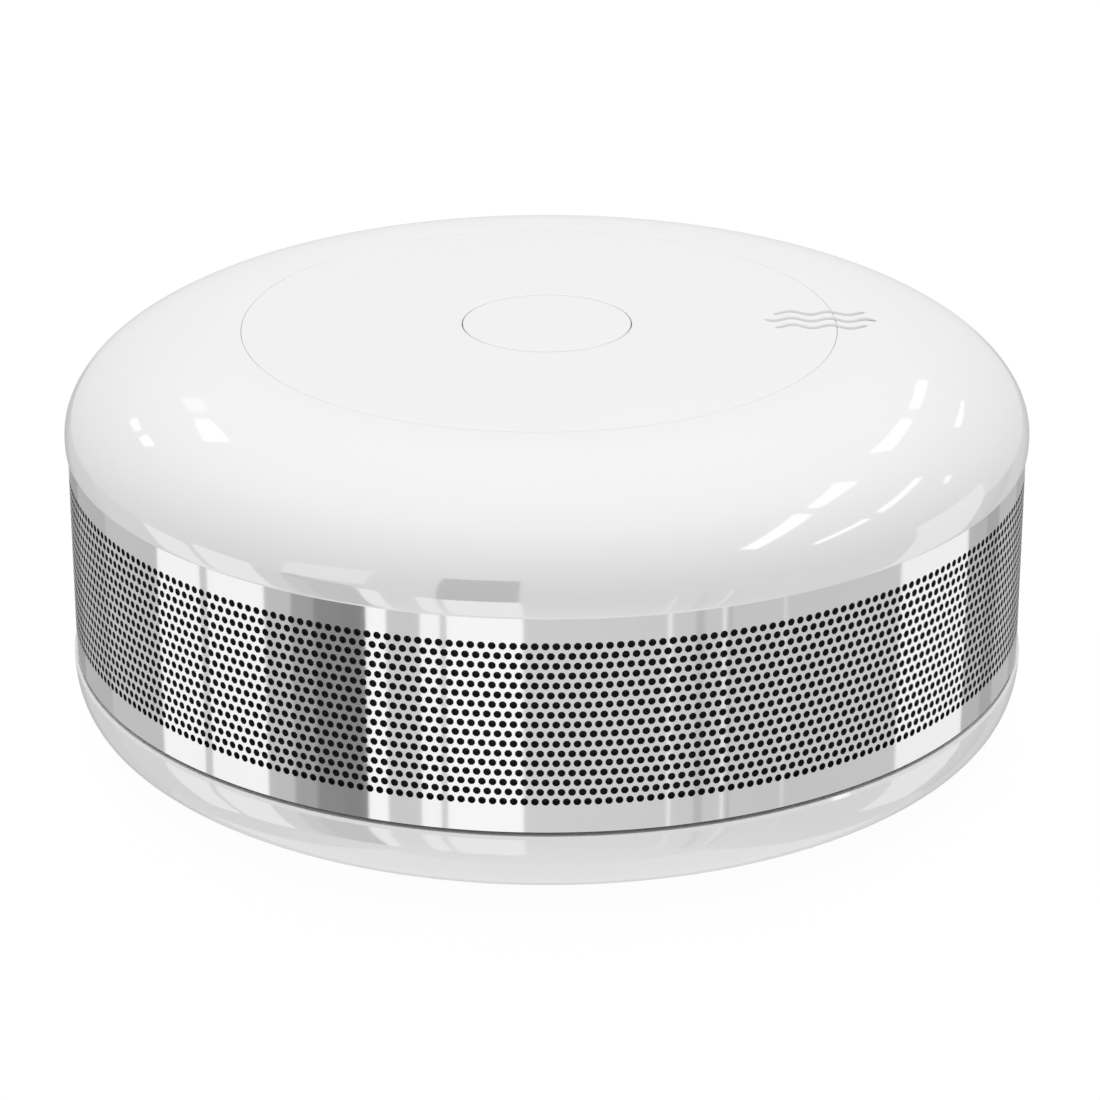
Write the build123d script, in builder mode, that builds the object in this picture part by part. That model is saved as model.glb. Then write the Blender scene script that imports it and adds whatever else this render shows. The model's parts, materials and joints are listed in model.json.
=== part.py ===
from build123d import *
from math import cos, radians, sin
import os

# Compact battery smoke detector lying on its mounting base. Millimetres, +Z up,
# origin at the middle of the flat back that meets the ceiling.

os.makedirs("parts", exist_ok=True)

# Housing
body_radius = 32.5
total_height = 28.0
back_radius = 19.07
side_foot_handle = 9.44
side_rim_handle = 4.99
side_top = 5.61
base_top = 5.8
head_bottom = 6.0
band_outer = 32.32
band_thickness = 0.3
band_top = 20.5
dome_bottom = 20.55
lip_inset = 0.16
dome_widest = 21.19
shoulder_rise = 3.8
shoulder_run = 6.8
crown_radius = 19.39
crown_edge = 27.87
crown_slope = 0.0134

# Mounting base and its bayonet
bowl_inner = 30.0
floor_top = 2.0
lug_count = 3
first_lug_angle = 30
lug_span = 14
hook_span = 20
hook_inner = 28.2
hook_bottom = 4.0
hook_top = 5.3
foot_inner = 26.5
foot_outer = 27.9
foot_bottom = 2.4
lug_outer = 29.6
lug_bottom = 2.5
lug_top = 3.7
unlock_angle = 18
screw_spacing = 30.0
screw_hole = 2.0

# Fits
wall_overlap = 0.5
part_gap = 0.05

# Head: back cover, cage, dome
cover_top = 7.2
cage_inner = 31.0
cage_outer = 31.8
rib_inner = 30.0
rib_outer = 30.9
base_rib_height = 1.4
post_radius = 27.6
post_angles = (90, 200, 340)
post_wall = 2.9
post_top = 14.0
screw_shank = 1.05
screw_clearance = 1.25
screw_head = 2.0
screw_counterbore = 2.2
cap_offset = -0.52
cap_radius = 19.93
cap_seat = 26.5
cap_opening = 18.4
button_radius = 5.6
button_gap = 0.15

# Board and what hangs from it
board_radius = 28.6
board_edge = 4.6
board_bottom = 21.0
board_top = 22.2
board_screw_shank = 0.75
board_screw_points = ((-25.2, 0.6), (25.2, 0.6), (0, -26.2))
chamber_center = (-9.5, -11.0)
chamber_radius = 13.0
chamber_floor = 8.4
chamber_split = 19.0
optics_height = 14.6
optics_angles = (-30, 210)
sounder_center = (13.8, -12.6)
sounder_radius = 8.7

# Cell: 17 mm by 34.5 mm lithium cell
cell_radius = 8.5
cell_length = 34.5
cell_y = 12.6
cell_z = 15.3
holder_outer = 9.4
holder_inner = 8.65

# Tamper pin
pin_x = 10.0
pin_tip = 3.2
pin_travel = 0.8
pin_radius = 1.4


def polar_point(radius, angle, center=(0, 0)):
    return (center[0] + radius * cos(radians(angle)), center[1] + radius * sin(radians(angle)))


post_points = [polar_point(post_radius, angle) for angle in post_angles]


def ring_sketch(inner, outer, center=(0, 0)):
    with BuildSketch() as ring:
        with Locations(center):
            Circle(outer)
            Circle(inner, mode=Mode.SUBTRACT)
    return ring.sketch


def sector_sketch(inner, outer, middle, span):
    start = middle - span / 2
    with BuildSketch() as sector:
        with BuildLine():
            near = CenterArc((0, 0), inner, start, span)
            far = CenterArc((0, 0), outer, start, span)
            Line(near @ 0, far @ 0)
            Line(near @ 1, far @ 1)
        make_face()
    return sector.sketch


def dome_sketch():
    """Half section of the solid dome, down to the lip over the band."""
    shoulder = (crown_radius + shoulder_run, crown_edge - shoulder_run * crown_slope)
    with BuildSketch() as section:
        with BuildLine():
            Line((0, dome_bottom), (0, total_height))
            ThreePointArc(
                (0, total_height),
                (crown_radius / 2, total_height - (total_height - crown_edge) / 4),
                (crown_radius, crown_edge),
            )
            Bezier(
                (crown_radius, crown_edge),
                shoulder,
                (body_radius, dome_widest + shoulder_rise),
                (body_radius, dome_widest),
            )
            Line((body_radius, dome_widest), (body_radius - lip_inset, dome_bottom))
            Line((body_radius - lip_inset, dome_bottom), (0, dome_bottom))
        make_face()
    return section.sketch


# Mounting base: bowl, bayonet hooks with stops, screw bosses and the tamper ramp
floor_corner = 0.5
boss_radius = 4.4
boss_top = 3.0
stop_span = 2
mouth_inset = 0.15
countersink_radius = 3.6
ramp_half_width = 2.0
ramp_flat_end = 4.2
ramp_center_angle = unlock_angle / 2
ramp_half_run = pin_x * sin(radians(ramp_center_angle))
ramp_top = pin_tip - 0.15
ramp_slope = pin_travel / (2 * ramp_half_run)

with BuildPart() as mounting_base:
    with BuildSketch(Plane.XZ):
        with BuildLine():
            Line((0, 0), (back_radius, 0))
            Bezier(
                (back_radius, 0),
                (back_radius + side_foot_handle, 0),
                (body_radius, side_top - side_rim_handle),
                (body_radius, side_top),
            )
            Polyline(
                (body_radius, side_top),
                (body_radius - mouth_inset, base_top),
                (bowl_inner, base_top),
                (bowl_inner, floor_top + floor_corner),
                (bowl_inner - floor_corner, floor_top),
                (0, floor_top),
                (0, 0),
            )
        make_face()
    revolve(axis=Axis.Z)
    with BuildSketch(Plane.XY.offset(hook_bottom)):
        with PolarLocations(0, lug_count, first_lug_angle):
            add(sector_sketch(hook_inner, bowl_inner + wall_overlap, 0, hook_span))
    extrude(amount=hook_top - hook_bottom)
    with BuildSketch(Plane.XY.offset(floor_top - wall_overlap)):
        with PolarLocations(0, lug_count, first_lug_angle):
            stop_middle = (stop_span - hook_span) / 2
            add(sector_sketch(hook_inner, bowl_inner + wall_overlap, stop_middle, stop_span))
    extrude(amount=hook_bottom - floor_top + wall_overlap)
    with BuildSketch(Plane.XY.offset(floor_top)):
        with GridLocations(0, screw_spacing, 1, 2):
            Circle(boss_radius)
    extrude(amount=boss_top - floor_top)
    ramp_origin = polar_point(pin_x, ramp_center_angle)
    ramp_plane = Plane(
        origin=(*ramp_origin, 0),
        x_dir=(-sin(radians(ramp_center_angle)), cos(radians(ramp_center_angle)), 0),
        z_dir=(cos(radians(ramp_center_angle)), sin(radians(ramp_center_angle)), 0),
    )
    ramp_end = (ramp_top - floor_top) / ramp_slope - ramp_half_run
    with BuildSketch(ramp_plane):
        with BuildLine():
            Polyline(
                (-ramp_flat_end, floor_top - wall_overlap),
                (-ramp_flat_end, ramp_top),
                (-ramp_half_run, ramp_top),
                (ramp_end, floor_top),
                (ramp_end, floor_top - wall_overlap),
                close=True,
            )
        make_face()
    extrude(amount=ramp_half_width, both=True)
    with Locations(Plane.XY.offset(boss_top)):
        with GridLocations(0, screw_spacing, 1, 2):
            CounterSinkHole(screw_hole, counter_sink_radius=countersink_radius)
mounting_base.part.label = "mounting_base"
export_step(mounting_base.part, "parts/mounting_base.step")

# Back cover of the turning head: plate, bayonet feet and lugs, screw posts, pin guide
screw_head_depth = 5.0
guide_outer = 2.4
guide_bore = 1.48
guide_top = 11.0
cover_clearance = 0.02
hatch_clearance = 0.25

with BuildPart() as back_cover:
    with BuildSketch(Plane.XY.offset(head_bottom)):
        Circle(band_outer - band_thickness - cover_clearance)
    extrude(amount=cover_top - head_bottom)
    with BuildSketch(Plane.XY.offset(cover_top)):
        add(ring_sketch(rib_inner, rib_outer))
    extrude(amount=base_rib_height)
    with BuildSketch(Plane.XY.offset(foot_bottom)):
        with PolarLocations(0, lug_count, first_lug_angle):
            add(sector_sketch(foot_inner, foot_outer, 0, hook_span))
    extrude(amount=head_bottom - foot_bottom)
    with BuildSketch(Plane.XY.offset(lug_bottom)):
        with PolarLocations(0, lug_count, first_lug_angle):
            add(sector_sketch(foot_outer - wall_overlap, lug_outer, 0, lug_span))
    extrude(amount=lug_top - lug_bottom)
    with BuildSketch(Plane.XY.offset(cover_top)):
        with Locations(*post_points):
            Circle(post_wall)
    extrude(amount=post_top - cover_top)
    with BuildSketch(Plane.XY.offset(cover_top)):
        with Locations((pin_x, 0)):
            Circle(guide_outer)
    extrude(amount=guide_top - cover_top)
    with BuildSketch(Plane.XY.offset(head_bottom)):
        with Locations((0, cell_y)):
            Rectangle(cell_length + 2 * hatch_clearance, 2 * holder_inner)
    extrude(amount=cover_top - head_bottom, mode=Mode.SUBTRACT)
    with Locations(Plane.XY.offset(post_top)):
        with Locations(*post_points):
            Hole(screw_clearance)
    with BuildSketch(Plane.XY.offset(head_bottom)):
        with Locations(*post_points):
            Circle(screw_counterbore)
    extrude(amount=screw_head_depth, mode=Mode.SUBTRACT)
    with Locations(Plane.XY.offset(guide_top)):
        with Locations((pin_x, 0)):
            Hole(guide_bore)
back_cover.part.label = "back_cover"
export_step(back_cover.part, "parts/back_cover.step")

# Support cage with two tiers of windows
cage_bottom = cover_top + part_gap
cage_top = band_top - part_gap
window_count = 24
window_bottoms = (8.8, 14.2)
window_width = 6.8
window_height = 4.8
window_cut = 4

with BuildPart() as support_cage:
    with BuildSketch(Plane.XY.offset(cage_bottom)):
        add(ring_sketch(cage_inner, cage_outer))
    extrude(amount=cage_top - cage_bottom)
    for window_bottom in window_bottoms:
        with BuildSketch(Plane.XY.offset(window_bottom)):
            with PolarLocations((cage_inner + cage_outer) / 2, window_count):
                Rectangle(window_cut, window_width)
        extrude(amount=window_height, mode=Mode.SUBTRACT)
support_cage.part.label = "support_cage"
export_step(support_cage.part, "parts/support_cage.step")

# Insect screen, wrapped round the cage
screen_gap = 0.02
screen_thickness = 0.16

with BuildPart() as insect_screen:
    with BuildSketch(Plane.XY.offset(cage_bottom)):
        add(ring_sketch(cage_outer + screen_gap, cage_outer + screen_gap + screen_thickness))
    extrude(amount=cage_top - cage_bottom)
insect_screen.part.label = "insect_screen"
export_step(insect_screen.part, "parts/insect_screen.step")

# Stainless band
with BuildPart() as grille:
    with BuildSketch(Plane.XY.offset(head_bottom)):
        add(ring_sketch(band_outer - band_thickness, band_outer))
    extrude(amount=band_top - head_bottom)
grille.part.label = "grille"
export_step(grille.part, "parts/grille.step")

# Dome housing: shell, locating rib, posts for the housing screws and the board screws
inner_radius = 30.7
inner_crown = 25.4
inner_rise_top = 23.6
inner_shoulder = 25.5
shell_top = 24.0
shell_overlap = 0.6
dome_rib_bottom = 19.0
dome_rib_height = 3.0
post_gap = 0.1
dome_post = 2.6
dome_screw_bore = 1.1
dome_screw_depth = 8.0
board_boss = 2.2
board_screw_bore = 0.8
board_screw_depth = 2.2
cap_recess_gap = 0.09
cut_depth = 4

with BuildPart() as front_housing:
    with BuildSketch(Plane.XZ):
        add(dome_sketch())
        with BuildLine():
            Line((0, dome_bottom), (cage_inner, dome_bottom))
            Line((cage_inner, dome_bottom), (inner_radius, dome_widest))
            Bezier(
                (inner_radius, dome_widest),
                (inner_radius, inner_rise_top),
                (inner_shoulder, inner_crown),
                (crown_radius, inner_crown),
            )
            Line((crown_radius, inner_crown), (0, inner_crown))
            Line((0, inner_crown), (0, dome_bottom))
        make_face(mode=Mode.SUBTRACT)
    revolve(axis=Axis.Z)
    with BuildSketch(Plane.XY.offset(dome_rib_bottom)):
        add(ring_sketch(rib_inner, rib_outer))
    extrude(amount=dome_rib_height)
    with BuildSketch(Plane.XY.offset(post_top + post_gap)):
        with Locations(*post_points):
            Circle(dome_post)
    extrude(amount=shell_top - post_top - post_gap)
    with BuildSketch(Plane.XY.offset(board_top)):
        with Locations(*board_screw_points):
            Circle(board_boss)
    extrude(amount=shell_top + shell_overlap - board_top)
    with BuildSketch(Plane.XY.offset(post_top)):
        with Locations(*post_points):
            Circle(dome_screw_bore)
    extrude(amount=dome_screw_depth, mode=Mode.SUBTRACT)
    with BuildSketch(Plane.XY.offset(board_top)):
        with Locations(*board_screw_points):
            Circle(board_screw_bore)
    extrude(amount=board_screw_depth, mode=Mode.SUBTRACT)
    with BuildSketch(Plane.XY.offset(inner_crown - wall_overlap)):
        with Locations((cap_offset, 0)):
            Circle(cap_opening)
    extrude(amount=cut_depth, mode=Mode.SUBTRACT)
    with BuildSketch(Plane.XY.offset(cap_seat)):
        with Locations((cap_offset, 0)):
            Circle(cap_radius + cap_recess_gap)
    extrude(amount=cut_depth, mode=Mode.SUBTRACT)
front_housing.part.label = "front_housing"
export_step(front_housing.part, "parts/front_housing.step")

# Front cap: off-centre disc cut from the same dome, with a locating ring under it
locating_wall = 0.8
locating_gap = 0.1

with BuildPart() as front_cap:
    with BuildSketch(Plane.XZ):
        add(dome_sketch())
    revolve(axis=Axis.Z)
    with BuildSketch(Plane.XY.offset(cap_seat)):
        with Locations((cap_offset, 0)):
            Circle(cap_radius)
    extrude(amount=cut_depth, mode=Mode.INTERSECT)
    locating_outer = cap_opening - locating_gap
    with BuildSketch(Plane.XY.offset(inner_crown)):
        add(ring_sketch(locating_outer - locating_wall, locating_outer, (cap_offset, 0)))
    extrude(amount=cap_seat - inner_crown)
    with BuildSketch(Plane.XY.offset(cap_seat - wall_overlap)):
        Circle(button_radius + button_gap)
    extrude(amount=cut_depth, mode=Mode.SUBTRACT)
front_cap.part.label = "front_cap"
export_step(front_cap.part, "parts/front_cap.step")

# Test button: flanged cap with a stem that meets the switch
stem_radius = 1.5
button_seat = 26.6
skirt_bottom = 25.3
skirt_inner = 4.9
flange_width = 0.5
flange_height = 0.9
switch_top = 23.5
stem_top = 23.9

with BuildPart() as test_button:
    with BuildSketch(Plane.XZ):
        add(dome_sketch())
    revolve(axis=Axis.Z)
    with BuildSketch(Plane.XY.offset(button_seat)):
        Circle(button_radius)
    extrude(amount=cut_depth, mode=Mode.INTERSECT)
    with BuildSketch(Plane.XY.offset(skirt_bottom)):
        add(ring_sketch(skirt_inner, button_radius))
    extrude(amount=button_seat - skirt_bottom)
    with BuildSketch(Plane.XY.offset(skirt_bottom)):
        add(ring_sketch(skirt_inner, button_radius + flange_width))
    extrude(amount=flange_height)
    with BuildSketch(Plane.XY.offset(stem_top + part_gap)):
        Circle(stem_radius)
    extrude(amount=button_seat - stem_top - part_gap)
test_button.part.label = "test_button"
export_step(test_button.part, "parts/test_button.step")

# Return spring round the switch, between the board and the button
spring_wire = 0.15
spring_radius = 3.8
spring_pitch = 1.2
spring_end_gap = 0.02

with BuildPart() as button_spring:
    with BuildLine():
        coil = Helix(
            pitch=spring_pitch,
            height=button_seat - board_top - 2 * (spring_wire + spring_end_gap),
            radius=spring_radius,
            center=(0, 0, board_top + spring_wire + spring_end_gap),
        )
    with BuildSketch(Plane(origin=coil @ 0, z_dir=coil % 0)):
        Circle(spring_wire)
    sweep()
button_spring.part.label = "button_spring"
export_step(button_spring.part, "parts/button_spring.step")

# Light guide under the cap, with feet over the indicator lights
guide_leg_angles = (180, 270, 0)
indicator_radius = 7.6
guide_bottom = 24.95
guide_inner = 6.3
guide_rim = 9.0
guide_leg = 1.1
guide_leg_bottom = 23.35

with BuildPart() as light_guide:
    with BuildSketch(Plane.XY.offset(guide_bottom)):
        add(ring_sketch(guide_inner, guide_rim))
    extrude(amount=cap_seat - part_gap - guide_bottom)
    with BuildSketch(Plane.XY.offset(guide_leg_bottom)):
        with Locations(*[polar_point(indicator_radius, angle) for angle in guide_leg_angles]):
            Circle(guide_leg)
    extrude(amount=guide_bottom - guide_leg_bottom)
light_guide.part.label = "light_guide"
export_step(light_guide.part, "parts/light_guide.step")

# Circuit board: round, cut straight beside the cell, notched for two posts
post_notch = 3.2
board_screw_clearance = 0.95

with BuildPart() as main_board:
    with BuildSketch(Plane.XY.offset(board_bottom)):
        Circle(board_radius)
        with Locations((0, board_edge + board_radius)):
            Rectangle(2 * board_radius, 2 * board_radius, mode=Mode.SUBTRACT)
        with Locations(*post_points[1:]):
            Circle(post_notch, mode=Mode.SUBTRACT)
        with Locations(*board_screw_points):
            Circle(board_screw_clearance, mode=Mode.SUBTRACT)
    extrude(amount=board_top - board_bottom)
main_board.part.label = "main_board"
export_step(main_board.part, "parts/main_board.step")


def cross_recess(points, level, size, depth):
    """Cross slots cut upwards into screw heads that face down."""
    with BuildSketch(Plane.XY.offset(level)) as slots:
        with Locations(*points):
            Rectangle(size, size / 4)
            Rectangle(size / 4, size)
    return extrude(slots.sketch, amount=depth, dir=(0, 0, 1), mode=Mode.PRIVATE)


# Screws from the board up into the dome
board_screw_head = 1.7
board_screw_bottom = board_bottom - 1.2
shank_length = 3.2

with BuildPart() as board_screws:
    with BuildSketch(Plane.XY.offset(board_screw_bottom)):
        with Locations(*board_screw_points):
            Circle(board_screw_head)
    extrude(amount=board_bottom - part_gap - board_screw_bottom)
    with BuildSketch(Plane.XY.offset(board_bottom - 2 * part_gap)):
        with Locations(*board_screw_points):
            Circle(board_screw_shank)
    extrude(amount=shank_length)
    add(cross_recess(board_screw_points, board_screw_bottom, 2.0, 0.6), mode=Mode.SUBTRACT)
board_screws.part.label = "board_screws"
export_step(board_screws.part, "parts/board_screws.step")

# Screws from the back cover up into the dome
housing_head_height = 1.35
housing_head_bottom = head_bottom + screw_head_depth - part_gap - housing_head_height
housing_shank_length = 10.0

with BuildPart() as housing_screws:
    with BuildSketch(Plane.XY.offset(housing_head_bottom)):
        with Locations(*post_points):
            Circle(screw_head)
    extrude(amount=housing_head_height)
    with BuildSketch(Plane.XY.offset(housing_head_bottom + 1.2)):
        with Locations(*post_points):
            Circle(screw_shank)
    extrude(amount=housing_shank_length)
    add(cross_recess(post_points, housing_head_bottom, 2.6, 0.8), mode=Mode.SUBTRACT)
housing_screws.part.label = "housing_screws"
export_step(housing_screws.part, "parts/housing_screws.step")

# Smoke chamber base: lid under the board with two optic tunnels aimed at the middle
tunnel_near = 3.6
tunnel_far = 8.6
tunnel_width = 4.6
tunnel_bottom = 12.2
optic_bore = 1.55
optic_radius = 1.5


def optic_plane(angle):
    """Plane across an optic tunnel, looking inwards from its outer end."""
    outer_point = polar_point(tunnel_far, angle, chamber_center)
    return Plane(
        origin=(*outer_point, optics_height),
        x_dir=(-sin(radians(angle)), cos(radians(angle)), 0),
        z_dir=(-cos(radians(angle)), -sin(radians(angle)), 0),
    )


with BuildPart() as chamber_base:
    with BuildSketch(Plane.XY.offset(chamber_split)):
        with Locations(chamber_center):
            Circle(chamber_radius)
    extrude(amount=board_bottom - part_gap - chamber_split)
    with BuildSketch(Plane.XY.offset(tunnel_bottom)):
        with Locations(chamber_center):
            for angle in optics_angles:
                with Locations(polar_point((tunnel_near + tunnel_far) / 2, angle)):
                    Rectangle(tunnel_far - tunnel_near, tunnel_width, rotation=angle)
    extrude(amount=chamber_split - tunnel_bottom)
    for angle in optics_angles:
        with BuildSketch(optic_plane(angle)):
            Circle(optic_bore)
        extrude(amount=tunnel_far - tunnel_near, mode=Mode.SUBTRACT)
chamber_base.part.label = "chamber_base"
export_step(chamber_base.part, "parts/chamber_base.step")

# Smoke chamber cover: floor plate and the ring of bent vanes that keeps light out
chamber_plate = 1.0
vane_count = 24
vane_width = 0.85
vane_inner = 9.2
vane_middle = 10.9
vane_outer = 12.6
vane_low = -0.9
vane_high = 1.1

with BuildPart() as chamber_cover:
    with BuildSketch(Plane.XY.offset(chamber_floor)):
        with Locations(chamber_center):
            Circle(chamber_radius)
    extrude(amount=chamber_plate)
    with BuildSketch(Plane.XY.offset(chamber_floor + chamber_plate)):
        with BuildSketch(mode=Mode.PRIVATE) as vane:
            with BuildLine():
                Polyline(
                    (vane_inner, vane_low),
                    (vane_middle, vane_high),
                    (vane_outer, vane_low),
                    (vane_outer, vane_low + vane_width),
                    (vane_middle, vane_high + vane_width),
                    (vane_inner, vane_low + vane_width),
                    close=True,
                )
            make_face()
        with Locations(chamber_center):
            with PolarLocations(0, vane_count):
                add(vane.sketch)
    extrude(amount=chamber_split - part_gap - chamber_floor - chamber_plate)
chamber_cover.part.label = "chamber_cover"
export_step(chamber_cover.part, "parts/chamber_cover.step")


def optic(angle):
    """Round-nosed optic lying in its tunnel, with a thin rim at the tunnel's mouth."""
    barrel_start, barrel_length = 0.3, 2.6
    neck_radius = 1.2
    with BuildPart() as body:
        with BuildSketch(optic_plane(angle).offset(barrel_start)):
            Circle(optic_radius)
        extrude(amount=barrel_length)
        with Locations(optic_plane(angle).offset(barrel_start + barrel_length)):
            Sphere(optic_radius)
        with BuildSketch(optic_plane(angle).offset(-0.2)):
            Circle(optic_radius)
        extrude(amount=0.15)
        with BuildSketch(optic_plane(angle).offset(-0.1)):
            Circle(neck_radius)
        extrude(amount=barrel_start + 0.2)
    return body.part


with BuildPart() as infrared_emitter:
    add(optic(optics_angles[0]))
infrared_emitter.part.label = "infrared_emitter"
export_step(infrared_emitter.part, "parts/infrared_emitter.step")

with BuildPart() as photodiode:
    add(optic(optics_angles[1]))
photodiode.part.label = "photodiode"
export_step(photodiode.part, "parts/photodiode.step")

# Sounder: resonator cup, brass disc and its ceramic
cup_bottom = 11.6
cup_floor = 12.6
cup_wall = 1.2
sound_hole = 1.6
disc_seat = 16.5
disc_seat_wall = 0.65
disc_thickness = 0.25
ceramic_radius = 5.5
ceramic_thickness = 0.2
cup_cut_depth = 9

with BuildPart() as sounder_cup:
    with BuildSketch(Plane.XY.offset(cup_bottom)):
        with Locations(sounder_center):
            Circle(sounder_radius)
    extrude(amount=board_bottom - part_gap - cup_bottom)
    with BuildSketch(Plane.XY.offset(cup_floor)):
        with Locations(sounder_center):
            Circle(sounder_radius - cup_wall)
    extrude(amount=cup_cut_depth, mode=Mode.SUBTRACT)
    with BuildSketch(Plane.XY.offset(disc_seat)):
        with Locations(sounder_center):
            Circle(sounder_radius - disc_seat_wall)
    extrude(amount=cup_cut_depth, mode=Mode.SUBTRACT)
    with Locations(Plane.XY.offset(cup_floor)):
        with Locations(sounder_center):
            Hole(sound_hole)
sounder_cup.part.label = "sounder_cup"
export_step(sounder_cup.part, "parts/sounder_cup.step")

with BuildPart() as sounder_disc:
    with BuildSketch(Plane.XY.offset(disc_seat)):
        with Locations(sounder_center):
            Circle(sounder_radius - disc_seat_wall - part_gap)
    extrude(amount=disc_thickness)
sounder_disc.part.label = "sounder_disc"
export_step(sounder_disc.part, "parts/sounder_disc.step")

with BuildPart() as sounder_ceramic:
    with BuildSketch(Plane.XY.offset(disc_seat + disc_thickness)):
        with Locations(sounder_center):
            Circle(ceramic_radius)
    extrude(amount=ceramic_thickness)
sounder_ceramic.part.label = "sounder_ceramic"
export_step(sounder_ceramic.part, "parts/sounder_ceramic.step")

# Cell, lying along X, with its raised end at +X
nub_length = 1.2
nub_radius = 3.0
can_rounding = 0.6
cell_start = Plane(origin=(-cell_length / 2, cell_y, cell_z), x_dir=(0, 1, 0), z_dir=(1, 0, 0))

with BuildPart() as battery:
    with BuildSketch(cell_start):
        Circle(cell_radius)
    extrude(amount=cell_length - nub_length)
    fillet(battery.edges().filter_by(GeomType.CIRCLE), can_rounding)
    with BuildSketch(cell_start.offset(cell_length - nub_length)):
        Circle(nub_radius)
    extrude(amount=nub_length)
battery.part.label = "battery"
export_step(battery.part, "parts/battery.step")

# Cell holder: arched cradle open towards the back cover, with end walls
holder_half = 19.6
holder_end = 1.4
holder_reach = 29.6
foot_cut = 10


def arch_sketch(radius):
    with BuildSketch() as arch:
        Circle(radius)
        with Locations((0, (cover_top - cell_z) / 2)):
            Rectangle(2 * radius, cell_z - cover_top)
        with Locations((0, cover_top - cell_z - foot_cut / 2)):
            Rectangle(4 * radius, foot_cut, mode=Mode.SUBTRACT)
    return arch.sketch


with BuildPart() as battery_holder:
    with BuildSketch(Plane(origin=(-holder_half, cell_y, cell_z), x_dir=(0, 1, 0), z_dir=(1, 0, 0))):
        add(arch_sketch(holder_outer))
    extrude(amount=2 * holder_half)
    with BuildSketch(
        Plane(origin=(-holder_half + holder_end, cell_y, cell_z), x_dir=(0, 1, 0), z_dir=(1, 0, 0))
    ):
        add(arch_sketch(holder_inner))
    extrude(amount=2 * (holder_half - holder_end), mode=Mode.SUBTRACT)
    with BuildSketch(Plane.XY.offset(cover_top)):
        Circle(holder_reach)
    extrude(amount=2 * holder_outer, mode=Mode.INTERSECT)
battery_holder.part.label = "battery_holder"
export_step(battery_holder.part, "parts/battery_holder.step")

# Battery contacts: flat plate at +X, bowed leaf at -X
contact_wall = holder_half - holder_end
plate_side = 8
plate_gap = 0.3
leaf_thickness = 0.25
leaf_half = 5
leaf_half_width = 3
leaf_back = -contact_wall + part_gap
leaf_nose = -cell_length / 2 - part_gap

with BuildPart() as battery_contact_positive:
    with BuildSketch(
        Plane(origin=(cell_length / 2 + plate_gap, cell_y, cell_z), x_dir=(0, 1, 0), z_dir=(1, 0, 0))
    ):
        Rectangle(plate_side, plate_side)
    extrude(amount=contact_wall - cell_length / 2 - plate_gap - part_gap)
battery_contact_positive.part.label = "battery_contact_positive"
export_step(battery_contact_positive.part, "parts/battery_contact_positive.step")

with BuildPart() as battery_contact_negative:
    with BuildSketch(Plane.XY.offset(cell_z - leaf_half_width)):
        with BuildLine():
            front = ThreePointArc(
                (leaf_back + leaf_thickness, cell_y - leaf_half),
                (leaf_nose, cell_y),
                (leaf_back + leaf_thickness, cell_y + leaf_half),
            )
            back = ThreePointArc(
                (leaf_back, cell_y - leaf_half),
                (leaf_nose - leaf_thickness, cell_y),
                (leaf_back, cell_y + leaf_half),
            )
            Line(front @ 0, back @ 0)
            Line(front @ 1, back @ 1)
        make_face()
    extrude(amount=2 * leaf_half_width)
battery_contact_negative.part.label = "battery_contact_negative"
export_step(battery_contact_negative.part, "parts/battery_contact_negative.step")

# Push switch under the button: body with a well for its stem, and the stem
switch_side = 4.5
chip_corner = 0.3
well_depth = 0.55
well_radius = 1.35
switch_stem_radius = 1.27
switch_stem_engagement = 0.15

with BuildPart() as button_switch:
    with BuildSketch(Plane.XY.offset(board_top)):
        RectangleRounded(switch_side, switch_side, chip_corner)
    extrude(amount=switch_top - board_top)
    with BuildSketch(Plane.XY.offset(switch_top - well_depth)):
        Circle(well_radius)
    extrude(amount=2 * well_depth, mode=Mode.SUBTRACT)
button_switch.part.label = "button_switch"
export_step(button_switch.part, "parts/button_switch.step")

with BuildPart() as button_switch_stem:
    with BuildSketch(Plane.XY.offset(switch_top - switch_stem_engagement)):
        Circle(switch_stem_radius)
    extrude(amount=stem_top - switch_top + switch_stem_engagement)
button_switch_stem.part.label = "button_switch_stem"
export_step(button_switch_stem.part, "parts/button_switch_stem.step")

# Indicator lights round the switch
indicator_side = 2.4
indicator_corner = 0.25
indicator_bevel = 0.15
chip_height = 0.9

with BuildPart() as indicator_leds:
    with BuildSketch(Plane.XY.offset(board_top)):
        with Locations(*[polar_point(indicator_radius, angle) for angle in guide_leg_angles]):
            RectangleRounded(indicator_side, indicator_side, indicator_corner)
    extrude(amount=chip_height)
    chamfer(indicator_leds.edges().group_by(Axis.Z)[-1], indicator_bevel)
indicator_leds.part.label = "indicator_leds"
export_step(indicator_leds.part, "parts/indicator_leds.step")

# Parts on top of the board
chip_place = (13.5, -9)
chip_side = 7
radio_place = (-14, -10)
radio_board = (12, 11, 0.7)
can_place = (-14, -9.4)
can_size = (10.6, 8.6, 1.5)
can_corner = 0.4
can_edge = 0.3

with BuildPart() as microcontroller:
    with BuildSketch(Plane.XY.offset(board_top)):
        with Locations(chip_place):
            RectangleRounded(chip_side, chip_side, chip_corner)
    extrude(amount=chip_height)
microcontroller.part.label = "microcontroller"
export_step(microcontroller.part, "parts/microcontroller.step")

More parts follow.
